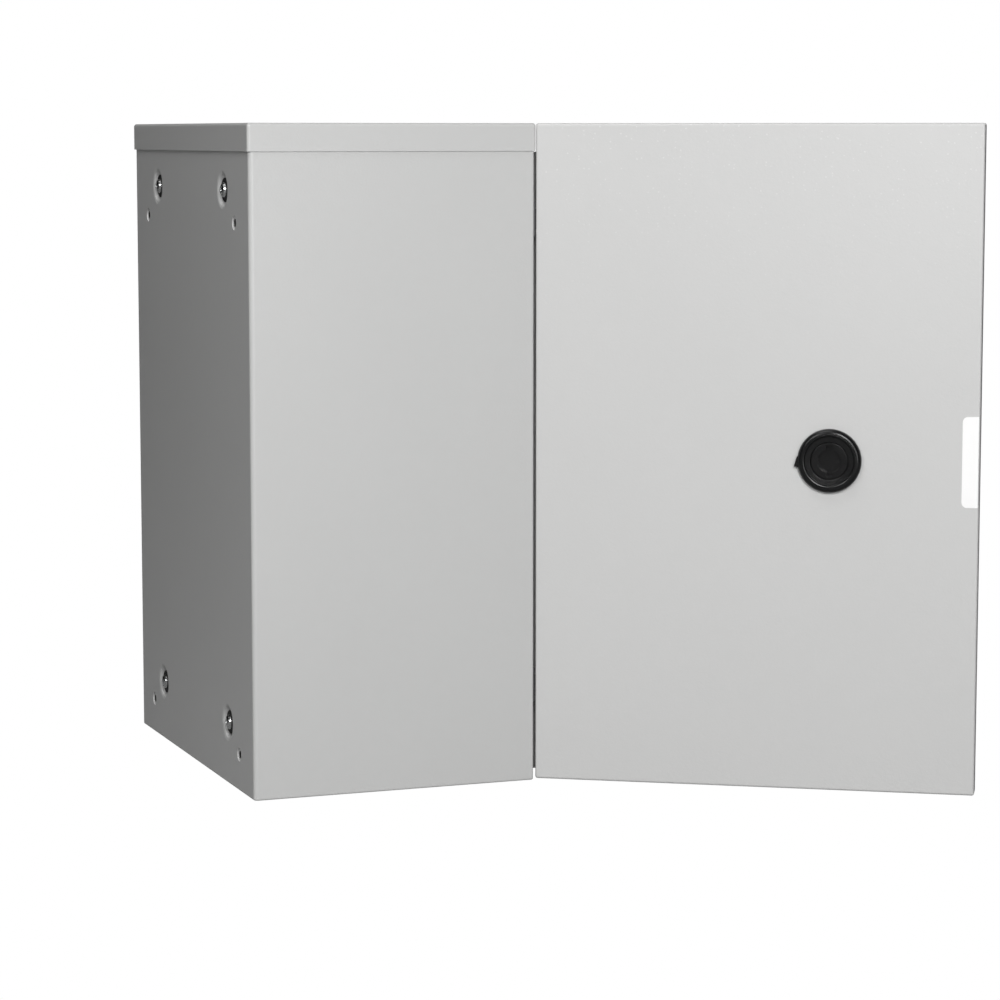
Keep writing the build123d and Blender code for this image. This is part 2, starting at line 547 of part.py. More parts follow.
for side, hinge_z in HINGES.items():
    knuckle_base = Plane.XY.offset(hinge_z - ARM_HALF)
    with BuildPart() as hinge_arm:
        with BuildSketch(knuckle_base):
            with Locations((HINGE_X, HINGE_Y)):
                Circle(KNUCKLE_R)
            with Locations((HINGE_X, (HINGE_Y - HALF_D) / 2)):
                Rectangle(WEB_T, -HALF_D - HINGE_Y)
            with Locations((HINGE_X, HINGE_Y)):
                Circle(PIN_R + RUNNING, mode=Mode.SUBTRACT)
        extrude(amount=2 * ARM_HALF)
        with BuildSketch(facing_front(-HALF_D)):
            with Locations(((FOOT_X0 + FOOT_X1) / 2, hinge_z)):
                Rectangle(FOOT_X1 - FOOT_X0, 2 * FOOT_HALF)
            with Locations((FOOT_SCREW_X, hinge_z - FOOT_SCREW_Z), (FOOT_SCREW_X, hinge_z + FOOT_SCREW_Z)):
                Circle(M4_HOLE_R, mode=Mode.SUBTRACT)
        extrude(amount=FOOT_T)
    save(hinge_arm.part, f"{side}_hinge_arm")

    with BuildPart() as hinge_bracket:
        with BuildSketch(facing_back(DOOR_INSIDE)):
            with Locations((-(BRACKET_X0 + BRACKET_X1) / 2, hinge_z)):
                RectangleRounded(BRACKET_X1 - BRACKET_X0, 2 * BRACKET_HALF, BRACKET_CORNER)
        extrude(amount=BRACKET_T)
        for ear_z in (hinge_z - ARM_HALF - EAR_GAP - EAR_T, hinge_z + ARM_HALF + EAR_GAP):
            with BuildSketch(Plane.XY.offset(ear_z)):
                with Locations((HINGE_X, HINGE_Y)):
                    Circle(KNUCKLE_R)
                with Locations((HINGE_X + 0.2, (HINGE_Y + DOOR_INSIDE + BRACKET_T) / 2)):
                    Rectangle(2 * KNUCKLE_R - 0.4, HINGE_Y - DOOR_INSIDE - BRACKET_T)
                with Locations((HINGE_X, HINGE_Y)):
                    Circle(PIN_R, mode=Mode.SUBTRACT)
            extrude(amount=EAR_T)
        with BuildSketch(facing_back(DOOR_INSIDE)):
            with Locations((-BRACKET_STUD_X, hinge_z - BRACKET_STUD_Z),
                           (-BRACKET_STUD_X, hinge_z + BRACKET_STUD_Z)):
                Circle(M4_HOLE_R)
        extrude(amount=BRACKET_T, mode=Mode.SUBTRACT)
    save_open(hinge_bracket.part, f"{side}_hinge_bracket")

    pin_half = ARM_HALF + EAR_GAP + EAR_T
    with BuildPart() as hinge_pin:
        with BuildSketch(Plane.XY.offset(hinge_z - pin_half)):
            with Locations((HINGE_X, HINGE_Y)):
                Circle(PIN_R)
        extrude(amount=2 * pin_half)
        chamfer(hinge_pin.faces().sort_by(Axis.Z)[0].edges(), 0.4)
        with BuildSketch(Plane.XY.offset(hinge_z + pin_half)):
            with Locations((HINGE_X, HINGE_Y)):
                Circle(PIN_HEAD_R)
        extrude(amount=PIN_HEAD)
    save_open(hinge_pin.part, f"{side}_hinge_pin")

FOOT_SCREW_END = -HALF_D + SHEET + 5.0
SMALL_CROSS_SPAN = 4.0
SMALL_CROSS_SLOT = 1.0
SMALL_CROSS_DEPTH = 1.6
with BuildPart() as hinge_foot_screws:
    for screw_x, screw_z in FOOT_SCREWS:
        head = -HALF_D - FOOT_T
        outline = [(0, head - 2.2), (2.2, head - 2.0), (3.3, head - 1.0), (3.5, head),
                   (M4_R, head), (M4_R, FOOT_SCREW_END), (0, FOOT_SCREW_END)]
        add(revolve_profile(outline, screw_x, screw_z))
    with BuildSketch(facing_front(-HALF_D - FOOT_T - 2.3)):
        with Locations(*FOOT_SCREWS):
            Rectangle(SMALL_CROSS_SPAN, SMALL_CROSS_SLOT)
            Rectangle(SMALL_CROSS_SLOT, SMALL_CROSS_SPAN)
    extrude(amount=-SMALL_CROSS_DEPTH, taper=CROSS_TAPER, mode=Mode.SUBTRACT)
save(hinge_foot_screws.part, "hinge_foot_screws")
foot_nuts = hex_nuts(facing_back(-HALF_D + SHEET), [(-x, z) for x, z in FOOT_SCREWS],
                     M4_FLATS, M4_R, M4_NUT)
save(foot_nuts, "hinge_foot_nuts")

BRACKET_STUDS = [(-BRACKET_STUD_X, z + up * BRACKET_STUD_Z) for z in HINGES.values() for up in (-1, 1)]
bracket_studs = rings(facing_back(DOOR_INSIDE), BRACKET_STUDS, M4_R, 0, BRACKET_STUD_LENGTH)
save_open(bracket_studs, "hinge_bracket_studs")
bracket_nuts = hex_nuts(facing_back(DOOR_INSIDE + BRACKET_T), BRACKET_STUDS, M4_FLATS, M4_R, M4_NUT)
save_open(bracket_nuts, "hinge_bracket_nuts")

# ================================================================ quarter-turn lock
LOCK_SEAL_T = 1.0
LOCK_SEAL_R = 20.4
LOCK_NUT_FLATS = 36.0
LOCK_NUT_H = 6.0
TOOTH_H = 3.0
FLANGE_SEAT = DOOR_FRONT - LOCK_SEAL_T
FLANGE_H = 4.4
FLANGE_TOP = FLANGE_SEAT - FLANGE_H
DISH_R = 16.9
CORE_FACE = FLANGE_SEAT - 2.3
CORE_HEAD_END = DOOR_INSIDE + 7.0
LOCK_AXIS = Axis((LOCK_X, 0, DOOR_MID_Z), (0, 1, 0))

with BuildPart() as lock_housing:
    section = Plane(origin=(LOCK_X, 0, DOOR_MID_Z), x_dir=(1, 0, 0), z_dir=(0, 0, 1))
    with BuildSketch(section):
        with BuildLine():
            Polyline((LOCK_CORE_R + RUNNING, CORE_FACE - 0.2), (LOCK_CORE_R + 0.5, CORE_FACE - 0.5),
                     (DISH_R - 0.7, CORE_FACE - 0.7), (DISH_R, FLANGE_TOP + 0.2),
                     (DISH_R + 0.6, FLANGE_TOP), (LOCK_FLANGE_R - 2.6, FLANGE_TOP + 0.1))
            ThreePointArc((LOCK_FLANGE_R - 2.6, FLANGE_TOP + 0.1),
                          (LOCK_FLANGE_R - 0.8, FLANGE_TOP + 1.1),
                          (LOCK_FLANGE_R, FLANGE_TOP + 3.0))
            Polyline((LOCK_FLANGE_R, FLANGE_TOP + 3.0), (LOCK_FLANGE_R, FLANGE_SEAT),
                     (LOCK_BARREL_R, FLANGE_SEAT), (LOCK_BARREL_R, BARREL_END),
                     (LOCK_SHANK_R + RUNNING, BARREL_END),
                     (LOCK_SHANK_R + RUNNING, CORE_HEAD_END + 0.2),
                     (LOCK_CORE_R + RUNNING, CORE_HEAD_END + 0.2),
                     (LOCK_CORE_R + RUNNING, CORE_FACE - 0.2))
        make_face()
    revolve(axis=LOCK_AXIS)
    # The pointed tooth on the flange's hinge side.
    with BuildSketch(facing_front(FLANGE_SEAT)):
        with BuildLine():
            Polyline((LOCK_X - 19.0, DOOR_MID_Z + 3.4), (LOCK_X - 21.6, DOOR_MID_Z + 2.8),
                     (LOCK_X - 23.6, DOOR_MID_Z - 4.0), (LOCK_X - 19.0, DOOR_MID_Z - 4.6),
                     close=True)
        make_face()
    extrude(amount=TOOTH_H)
save_open(lock_housing.part, "lock_housing")

lock_seal = rings(facing_front(DOOR_FRONT), [(LOCK_X, DOOR_MID_Z)], LOCK_SEAL_R, LOCK_BARREL_R + 0.1,
                  LOCK_SEAL_T)
save_open(lock_seal, "lock_seal")
lock_nut = hex_nuts(facing_back(DOOR_INSIDE), [(-LOCK_X, DOOR_MID_Z)], LOCK_NUT_FLATS,
                    LOCK_BARREL_R, LOCK_NUT_H)
save_open(lock_nut, "lock_nut")

KEY_R = 7.8
KEY_SLOT_H = 21.0
KEY_SLOT_W = 4.3
KEY_DEPTH = 5.0
CAM_BACK = CAM_Y + CAM_T
CAM_THREAD_R = 2.0
CAM_THREAD_DEPTH = 9.0
with BuildPart() as lock_core:
    with BuildSketch(facing_back(CORE_FACE)):
        with Locations((-LOCK_X, DOOR_MID_Z)):
            Circle(LOCK_CORE_R)
    extrude(amount=CORE_HEAD_END - CORE_FACE)
    chamfer(lock_core.faces().sort_by(Axis.Y)[0].edges(), 0.5)
    with BuildSketch(facing_back(CORE_HEAD_END)):
        with Locations((-LOCK_X, DOOR_MID_Z)):
            Circle(LOCK_SHANK_R)
    extrude(amount=BARREL_END - CORE_HEAD_END)
    with BuildSketch(facing_back(BARREL_END)):
        with Locations((-LOCK_X, DOOR_MID_Z)):
            Rectangle(LOCK_SQUARE, LOCK_SQUARE)
    extrude(amount=CAM_BACK - BARREL_END)
    # Keyhole: a round well with two wings.
    with BuildSketch(facing_back(CORE_FACE)):
        with Locations((-LOCK_X, DOOR_MID_Z)):
            Circle(KEY_R)
            Rectangle(KEY_SLOT_W, KEY_SLOT_H)
    extrude(amount=KEY_DEPTH, mode=Mode.SUBTRACT)
    # Index mark on the face.
    with BuildSketch(facing_back(CORE_FACE)):
        with Locations((-LOCK_X - 10.4, DOOR_MID_Z - 1.8)):
            Rectangle(2.6, 0.9)
    extrude(amount=0.5, mode=Mode.SUBTRACT)
    # Thread for the cam screw.
    with BuildSketch(facing_back(CAM_BACK)):
        with Locations((-LOCK_X, DOOR_MID_Z)):
            Circle(CAM_THREAD_R)
    extrude(amount=-CAM_THREAD_DEPTH, mode=Mode.SUBTRACT)
save_open(lock_core.part, "lock_core")

# The cam hangs down when unlocked and turns to the free edge to lock.
CAM_HUB_R = 11.0
CAM_TIP_W = 14.0
CAM_WAIST = 24.0            # from the axis to where the cam's sides run straight
CAM_CORNER = 5.0
with BuildPart() as lock_cam:
    with BuildSketch(facing_back(CAM_Y)) as cam_face:
        with Locations((-LOCK_X, DOOR_MID_Z)):
            Circle(CAM_HUB_R)
        with BuildLine():
            Polyline((-LOCK_X - CAM_HUB_R + 0.3, DOOR_MID_Z - 3.0),
                     (-LOCK_X - CAM_TIP_W / 2, DOOR_MID_Z - CAM_WAIST),
                     (-LOCK_X - CAM_TIP_W / 2, DOOR_MID_Z - CAM_REACH),
                     (-LOCK_X + CAM_TIP_W / 2, DOOR_MID_Z - CAM_REACH),
                     (-LOCK_X + CAM_TIP_W / 2, DOOR_MID_Z - CAM_WAIST),
                     (-LOCK_X + CAM_HUB_R - 0.3, DOOR_MID_Z - 3.0), close=True)
        make_face()
        fillet(cam_face.vertices().group_by(Axis.Y)[0], CAM_CORNER)
        with Locations((-LOCK_X, DOOR_MID_Z)):
            Rectangle(LOCK_SQUARE + 0.1, LOCK_SQUARE + 0.1, mode=Mode.SUBTRACT)
    extrude(amount=CAM_T)
save_open(lock_cam.part, "lock_cam")

CAM_WASHER_R = 7.5
CAM_WASHER_T = 1.2
CAM_SCREW_R = 1.98
CAM_SCREW_HEAD_R = 3.5
CAM_SCREW_HEAD = 2.8
CAM_SCREW_LENGTH = 9.0
CAM_SCREW_SOCKET = 1.8
cam_washer = rings(facing_back(CAM_BACK), [(-LOCK_X, DOOR_MID_Z)], CAM_WASHER_R,
                   CAM_SCREW_R + WASHER_PLAY, CAM_WASHER_T)
save_open(cam_washer, "lock_cam_washer")
SCREW_SEAT = CAM_BACK + CAM_WASHER_T
with BuildPart() as lock_cam_screw:
    outline = [(0, SCREW_SEAT + CAM_SCREW_HEAD), (3.0, SCREW_SEAT + CAM_SCREW_HEAD),
               (CAM_SCREW_HEAD_R, SCREW_SEAT + 2.3), (CAM_SCREW_HEAD_R, SCREW_SEAT),
               (CAM_SCREW_R, SCREW_SEAT), (CAM_SCREW_R, SCREW_SEAT - CAM_SCREW_LENGTH),
               (0, SCREW_SEAT - CAM_SCREW_LENGTH)]
    add(revolve_profile(outline, LOCK_X, DOOR_MID_Z))
    with BuildSketch(facing_back(SCREW_SEAT + CAM_SCREW_HEAD)):
        with Locations((-LOCK_X, DOOR_MID_Z)):
            RegularPolygon(1.5, 6, major_radius=False)
    extrude(amount=-CAM_SCREW_SOCKET, mode=Mode.SUBTRACT)
save_open(lock_cam_screw.part, "lock_cam_screw")
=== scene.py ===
"""Looks of the battery box: powder-coated cabinet, black cam lock, zinc and galvanised ironmongery.

Metres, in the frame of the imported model: +Z up, the cabinet's door side along -Y.
"""

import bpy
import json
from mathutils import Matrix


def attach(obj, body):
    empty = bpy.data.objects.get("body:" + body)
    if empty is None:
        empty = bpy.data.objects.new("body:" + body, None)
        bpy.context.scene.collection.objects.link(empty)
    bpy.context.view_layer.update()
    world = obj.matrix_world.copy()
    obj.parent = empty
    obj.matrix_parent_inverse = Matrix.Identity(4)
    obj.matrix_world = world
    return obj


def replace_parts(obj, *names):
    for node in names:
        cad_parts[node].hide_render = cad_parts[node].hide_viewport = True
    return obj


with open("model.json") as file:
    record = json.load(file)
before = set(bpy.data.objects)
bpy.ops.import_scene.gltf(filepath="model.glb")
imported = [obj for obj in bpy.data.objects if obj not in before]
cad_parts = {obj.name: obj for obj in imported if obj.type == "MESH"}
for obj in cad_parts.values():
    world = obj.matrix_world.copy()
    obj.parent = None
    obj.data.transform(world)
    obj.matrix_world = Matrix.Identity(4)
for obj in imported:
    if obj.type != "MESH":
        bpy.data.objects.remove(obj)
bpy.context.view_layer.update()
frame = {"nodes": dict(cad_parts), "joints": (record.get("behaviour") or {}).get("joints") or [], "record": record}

import json
import math

import bmesh
import bpy
from mathutils import Vector

MM = 0.001
NODES = frame["nodes"]
RECORD = frame["record"]
JOINTS = {joint["name"]: joint for joint in frame["joints"]}


# ================================================================ places read from the frame
DOOR_OUT = Vector(JOINTS["lock_turn"]["axis"]).normalized()     # out of the open door's face
DOOR_ALONG = Vector((-DOOR_OUT.y, DOOR_OUT.x, 0.0))              # from its hinges to its free edge
UP = Vector((0, 0, 1))


def separate_solids(node):
    """The points of each separate solid in a node, in the order in which they are met."""
    mesh = NODES[node].data
    places, owner = {}, []
    for vert in mesh.vertices:
        owner.append(places.setdefault(tuple(round(c, 6) for c in vert.co), len(places)))
    root = list(range(len(places)))

    def find(i):
        while root[i] != i:
            root[i] = root[root[i]]
            i = root[i]
        return i

    for edge in mesh.edges:
        root[find(owner[edge.vertices[0]])] = find(owner[edge.vertices[1]])
    groups = {}
    for place_at, i in places.items():
        groups.setdefault(find(i), []).append(Vector(place_at))
    return list(groups.values())


def middle(values):
    """Half way between the lowest and the highest value."""
    return (min(values) + max(values)) / 2


def rod_ends(points, axis):
    """Where a round rod starts on its centre line, and how long it is, from its points."""
    reach = [point.dot(axis) for point in points]
    centre = Vector([middle([point[i] for point in points]) for i in range(3)])
    foot = centre + axis * (min(reach) - centre.dot(axis))
    return foot, max(reach) - min(reach)


# ================================================================ node helpers
def place(tree, kind, **settings):
    """Adds a node to a tree and sets its options."""
    made = tree.nodes.new(kind)
    for key, value in settings.items():
        setattr(made, key, value)
    return made


def feed(tree, source, socket):
    """Joins a socket to its source, or sets it where the source is a plain value."""
    if isinstance(source, bpy.types.NodeSocket):
        tree.links.new(source, socket)
    else:
        socket.default_value = source


def calc(tree, operation, first, second=0.0, third=0.0, clamp=False):
    """A sum on up to three values; each may be a socket or a number."""
    made = place(tree, "ShaderNodeMath", operation=operation, use_clamp=clamp)
    for value, socket in zip((first, second, third), made.inputs):
        feed(tree, value, socket)
    return made.outputs[0]


def remap(tree, value, from_low, from_high, to_low=0.0, to_high=1.0):
    """Stretches one range of a value onto another, and holds it at the ends."""
    made = place(tree, "ShaderNodeMapRange", clamp=True)
    for source, name in ((value, "Value"), (from_low, "From Min"), (from_high, "From Max"),
                         (to_low, "To Min"), (to_high, "To Max")):
        feed(tree, source, made.inputs[name])
    return made.outputs["Result"]


def noise(tree, where, scale, detail=2.0, roughness=0.5, distortion=0.0):
    """Cloud noise; scale counts its features in a metre."""
    made = place(tree, "ShaderNodeTexNoise", noise_dimensions="3D")
    feed(tree, where, made.inputs["Vector"])
    for source, name in ((scale, "Scale"), (detail, "Detail"), (roughness, "Roughness"),
                         (distortion, "Distortion")):
        feed(tree, source, made.inputs[name])
    return made.outputs["Fac"]


def stretch(tree, where, scale):
    """Scales a point along each axis, so that a pattern on it runs in one direction."""
    made = place(tree, "ShaderNodeMapping", vector_type="POINT")
    feed(tree, where, made.inputs["Vector"])
    made.inputs["Scale"].default_value = scale
    return made.outputs["Vector"]


def tint(tree, share, first, second, blend="MIX"):
    """Mixes two colours by a share; each may be a socket or an (r, g, b)."""
    made = place(tree, "ShaderNodeMix", data_type="RGBA", blend_type=blend)
    feed(tree, share, made.inputs[0])
    for value, socket in ((first, made.inputs[6]), (second, made.inputs[7])):
        feed(tree, (*value, 1.0) if isinstance(value, tuple) else value, socket)
    return made.outputs[2]


def local_point(tree):
    """The point on the surface, in metres, fixed to the piece."""
    return place(tree, "ShaderNodeTexCoord").outputs["Object"]


SOCKETS = {"number": "NodeSocketFloat", "colour": "NodeSocketColor", "vector": "NodeSocketVector"}


def effect(name, inputs, outputs):
    """A new shader node group with named inputs (name, kind, default) and outputs (name, kind)."""
    tree = bpy.data.node_groups.new(name, "ShaderNodeTree")
    for label, kind, default in inputs:
        socket = tree.interface.new_socket(label, in_out="INPUT", socket_type=SOCKETS[kind])
        socket.default_value = default
    for label, kind in outputs:
        tree.interface.new_socket(label, in_out="OUTPUT", socket_type=SOCKETS[kind])
    return tree, place(tree, "NodeGroupInput").outputs, place(tree, "NodeGroupOutput").inputs


def use(tree, group, **values):
    """Places a group in a material; keyword names have _ where the socket has a space."""
    made = place(tree, "ShaderNodeGroup", node_tree=group)
    for key, value in values.items():
        feed(tree, value, made.inputs[key.replace("_", " ")])
    return made.outputs


# ================================================================ shared effects
NIB_RADIUS = 0.36           # as a share of the distance between nibs


def make_orange_peel():
    """The rolling skin of powder coat: soft cells, a finer grain, and a scatter of low round nibs."""
    tree, given, out = effect(
        "orange peel",
        [("Cells", "number", 520.0), ("Grain", "number", 2400.0), ("Grain Share", "number", 0.2),
         ("Nibs", "number", 420.0), ("Nib Share", "number", 1.0)],
        [("Height", "number"), ("Nib", "number")])
    where = local_point(tree)
    cells = noise(tree, where, given["Cells"], 1.0, 0.4, 0.6)
    broad = noise(tree, where, calc(tree, "MULTIPLY", given["Cells"], 0.31), 1.0, 0.5, 0.2)
    grain = noise(tree, where, given["Grain"], 2.0, 0.6)
    rolling = calc(tree, "ADD", calc(tree, "MULTIPLY", cells, 0.7), calc(tree, "MULTIPLY", broad, 0.3))
    height = calc(tree, "MULTIPLY_ADD", grain, given["Grain Share"], rolling)
    scatter = place(tree, "ShaderNodeTexVoronoi", feature="F1", voronoi_dimensions="3D")
    feed(tree, where, scatter.inputs["Vector"])
    feed(tree, given["Nibs"], scatter.inputs["Scale"])
    chance = place(tree, "ShaderNodeSeparateColor")
    feed(tree, scatter.outputs["Color"], chance.inputs[0])
    chosen = remap(tree, chance.outputs[0], 0.88, 0.97)
    nearness = calc(tree, "DIVIDE", scatter.outputs["Distance"], NIB_RADIUS)
    round_top = calc(tree, "SUBTRACT", 1.0, calc(tree, "MULTIPLY", nearness, nearness), clamp=True)
    dome = calc(tree, "MULTIPLY", calc(tree, "MULTIPLY", round_top, round_top), chosen)
    feed(tree, calc(tree, "MULTIPLY_ADD", dome, given["Nib Share"], height), out["Height"])
    # the nibs' tops: glossier, and the mask on which powder_coat paints its white glints
    nib_gloss_and_glint_mask = remap(tree, round_top, 0.1, 0.4)
    feed(tree, calc(tree, "MULTIPLY", nib_gloss_and_glint_mask, chosen, clamp=True), out["Nib"])
    return tree


def make_edge_wear():
    """A mask that is 1 on folded and cut edges, broken up so that it isn't an even line."""
    tree, given, out = effect(
        "edge wear", [("Width", "number", 1.0 * MM), ("Break Up", "number", 300.0)], [("Mask", "number")])
    rounded = place(tree, "ShaderNodeBevel", samples=4)
    feed(tree, given["Width"], rounded.inputs["Radius"])
    facing = place(tree, "ShaderNodeNewGeometry").outputs["Normal"]
    turn = place(tree, "ShaderNodeVectorMath", operation="DOT_PRODUCT")
    feed(tree, rounded.outputs["Normal"], turn.inputs[0])
    feed(tree, facing, turn.inputs[1])
    edge = remap(tree, turn.outputs["Value"], 0.985, 0.86)
    patches = remap(tree, noise(tree, local_point(tree), given["Break Up"], 3.0), 0.38, 0.62, 0.25, 1.0)
    feed(tree, calc(tree, "MULTIPLY", edge, patches, clamp=True), out["Mask"])
    return tree


def make_settled_dust():
    """Dust that lies on upward faces, thin and patchy."""
    tree, given, out = effect(
        "settled dust", [("Amount", "number", 0.3), ("Patch", "number", 18.0)], [("Mask", "number")])
    parts = place(tree, "ShaderNodeSeparateXYZ")
    feed(tree, place(tree, "ShaderNodeNewGeometry").outputs["Normal"], parts.inputs[0])
    upward = remap(tree, parts.outputs["Z"], 0.5, 0.98)
    patches = remap(tree, noise(tree, local_point(tree), given["Patch"], 4.0, 0.6), 0.35, 0.7, 0.2, 1.0)
    specks = remap(tree, noise(tree, local_point(tree), 1500.0, 1.0), 0.5, 0.72, 0.4, 1.0)
    cover = calc(tree, "MULTIPLY", calc(tree, "MULTIPLY", upward, patches), specks)
    feed(tree, calc(tree, "MULTIPLY", cover, given["Amount"], clamp=True), out["Mask"])
    return tree


def make_fine_scratches():
    """Sparse hair scratches in two directions, for a surface that has been handled."""
    tree, given, out = effect(
        "fine scratches", [("Density", "number", 0.5), ("Scale", "number", 60.0)], [("Mask", "number")])
    where = local_point(tree)
    lines = None
    for scale in ((1.0, 1.0, 26.0), (22.0, 20.0, 1.2)):
        run = noise(tree, stretch(tree, where, scale), given["Scale"], 2.0, 0.5, 0.35)
        hair = remap(tree, calc(tree, "ABSOLUTE", calc(tree, "SUBTRACT", run, 0.5)), 0.0, 0.006, 1.0, 0.0)
        lines = hair if lines is None else calc(tree, "MAXIMUM", lines, hair)
    sparse = remap(tree, noise(tree, where, 35.0, 1.0), 0.62, 0.74)
    cover = calc(tree, "MULTIPLY", lines, sparse)
    feed(tree, calc(tree, "MULTIPLY", cover, given["Density"], clamp=True), out["Mask"])
    return tree


def make_cloudy_tone():
    """A slow variation of tone, about zero in the middle."""
    tree, given, out = effect(
        "cloudy tone", [("Scale", "number", 12.0), ("Amount", "number", 0.03)], [("Tone", "number")])
    where = local_point(tree)
    slow = noise(tree, where, given["Scale"], 3.0, 0.55)
    quick = noise(tree, where, calc(tree, "MULTIPLY", given["Scale"], 14.0), 2.0)
    both = calc(tree, "ADD", calc(tree, "MULTIPLY", slow, 0.7), calc(tree, "MULTIPLY", quick, 0.3))
    centred = calc(tree, "SUBTRACT", both, 0.5)
    feed(tree, calc(tree, "MULTIPLY_ADD", centred, given["Amount"], 1.0), out["Tone"])
    return tree


CRYSTAL_BEND = 6 * MM
CRYSTAL_BEND_SCALE = 130.0


def make_spangle():
    """The frosted crystals of galvanised sheet: a tone and a tilt for each crystal."""
    tree, given, out = effect(
        "zinc spangle", [("Scale", "number", 160.0), ("Contrast", "number", 0.2)],
        [("Tone", "number"), ("Height", "number"), ("Dull", "number")])
    where = local_point(tree)
    warp = place(tree, "ShaderNodeTexNoise", noise_dimensions="3D")
    feed(tree, where, warp.inputs["Vector"])
    warp.inputs["Scale"].default_value = CRYSTAL_BEND_SCALE
    bent = place(tree, "ShaderNodeVectorMath", operation="MULTIPLY_ADD")
    feed(tree, warp.outputs["Color"], bent.inputs[0])
    bent.inputs[1].default_value = (CRYSTAL_BEND,) * 3
    feed(tree, where, bent.inputs[2])
    crystals = place(tree, "ShaderNodeTexVoronoi", feature="F1", voronoi_dimensions="3D")
    feed(tree, bent.outputs[0], crystals.inputs["Vector"])
    feed(tree, given["Scale"], crystals.inputs["Scale"])
    shade = place(tree, "ShaderNodeSeparateColor")
    feed(tree, crystals.outputs["Color"], shade.inputs[0])
    feathers = noise(tree, stretch(tree, where, (1.0, 1.0, 4.0)), 900.0, 3.0, 0.6)
    mixed = calc(tree, "MULTIPLY_ADD", calc(tree, "SUBTRACT", feathers, 0.5), 0.6, shade.outputs[0])
    spread = calc(tree, "MULTIPLY", calc(tree, "SUBTRACT", mixed, 0.5), given["Contrast"])
    feed(tree, calc(tree, "ADD", 1.0, spread), out["Tone"])
    feed(tree, calc(tree, "MULTIPLY_ADD", feathers, 0.3, shade.outputs[1]), out["Height"])
    feed(tree, shade.outputs[2], out["Dull"])
    return tree


def make_grit():
    """Fine moulded or cast texture: a height and a speckle."""
    tree, given, out = effect(
        "fine grit", [("Scale", "number", 1400.0)], [("Height", "number"), ("Speck", "number")])
    where = local_point(tree)
    coarse = noise(tree, where, given["Scale"], 2.0, 0.55)
    fine = noise(tree, where, calc(tree, "MULTIPLY", given["Scale"], 3.1), 1.0)
    feed(tree, calc(tree, "MULTIPLY_ADD", fine, 0.35, coarse), out["Height"])
    feed(tree, remap(tree, coarse, 0.55, 0.75), out["Speck"])
    return tree


ORANGE_PEEL = make_orange_peel()
EDGE_WEAR = make_edge_wear()
SETTLED_DUST = make_settled_dust()
FINE_SCRATCHES = make_fine_scratches()
CLOUDY_TONE = make_cloudy_tone()
SPANGLE = make_spangle()
GRIT = make_grit()


# ================================================================ materials
def start_material(name, **constants):
    """A material with its Principled shader; constants are set on the shader's own sockets."""
    material = bpy.data.materials.new(name)
    material.use_nodes = True
    tree = material.node_tree
    tree.nodes.clear()
    shader = place(tree, "ShaderNodeBsdfPrincipled")
    ending = place(tree, "ShaderNodeOutputMaterial")
    tree.links.new(shader.outputs[0], ending.inputs["Surface"])
    for key, value in constants.items():
        shader.inputs[key.replace("_", " ")].default_value = value
    return material, tree, shader.inputs


def raise_surface(tree, height, depth, distance, under=None):
    """A bump from a height; depth is its strength and distance the height of one unit."""
    bump = place(tree, "ShaderNodeBump")
    bump.inputs["Strength"].default_value = depth
    bump.inputs["Distance"].default_value = distance
    feed(tree, height, bump.inputs["Height"])
    if under is not None:
        feed(tree, under, bump.inputs["Normal"])
    return bump.outputs["Normal"]


def partly(tree, mask, share):
    """A mask held back to a share of its strength."""
    return calc(tree, "MULTIPLY", mask, share)


def scaled(colour, by):
    """A colour made lighter or darker."""
    return tuple(min(1.0, channel * by) for channel in colour)


def shaded(tree, colour, tone):
    """A colour multiplied by a tone."""
    bright = place(tree, "ShaderNodeCombineColor")
    for socket in bright.inputs[:3]:
        feed(tree, tone, socket)
    return tint(tree, 1.0, colour, bright.outputs[0], "MULTIPLY")


def soft_edges(tree, radius):
    """A normal that rounds off hard corners, so that cut edges catch the light."""
    rounded = place(tree, "ShaderNodeBevel", samples=6)
    rounded.inputs["Radius"].default_value = radius
    return rounded.outputs["Normal"]


def threaded_bores(tree, axes, radius, pitch):
    """A mask inside bores that run along Y, for the painted shade in them, and the ridges of their threads."""
    parts = place(tree, "ShaderNodeSeparateXYZ")
    feed(tree, local_point(tree), parts.inputs[0])
    nearest = None
    for x, z in axes:
        across = calc(tree, "SUBTRACT", parts.outputs["X"], x)
        upward = calc(tree, "SUBTRACT", parts.outputs["Z"], z)
        off = calc(tree, "SQRT", calc(tree, "MULTIPLY_ADD", across, across,
                                      calc(tree, "MULTIPLY", upward, upward)))
        nearest = off if nearest is None else calc(tree, "MINIMUM", nearest, off)
    inside = remap(tree, nearest, radius + 0.1 * MM, radius + 0.3 * MM, 1.0, 0.0)
    ridge = calc(tree, "SINE", calc(tree, "MULTIPLY", parts.outputs["Y"], 2 * math.pi / pitch))
    return inside, ridge


NIB_BUMPS_AND_GLINTS_THIN_BELOW = 330 * MM          # heights between which the nibs in the paint, and the white painted glints on them, grow from thin to full
NIB_BUMPS_AND_GLINTS_FULL_ABOVE = 430 * MM
THIN_SHARE = 0.15
NIB_PAINTED_GLINT_WHITE = (0.92, 0.92, 0.915)
DUST = (0.52, 0.50, 0.46)
# near-black inside the bores: painted shade of the holes, over threads that the paint doesn't reach
BORE_PAINTED_SHADE = (0.030, 0.029, 0.028)


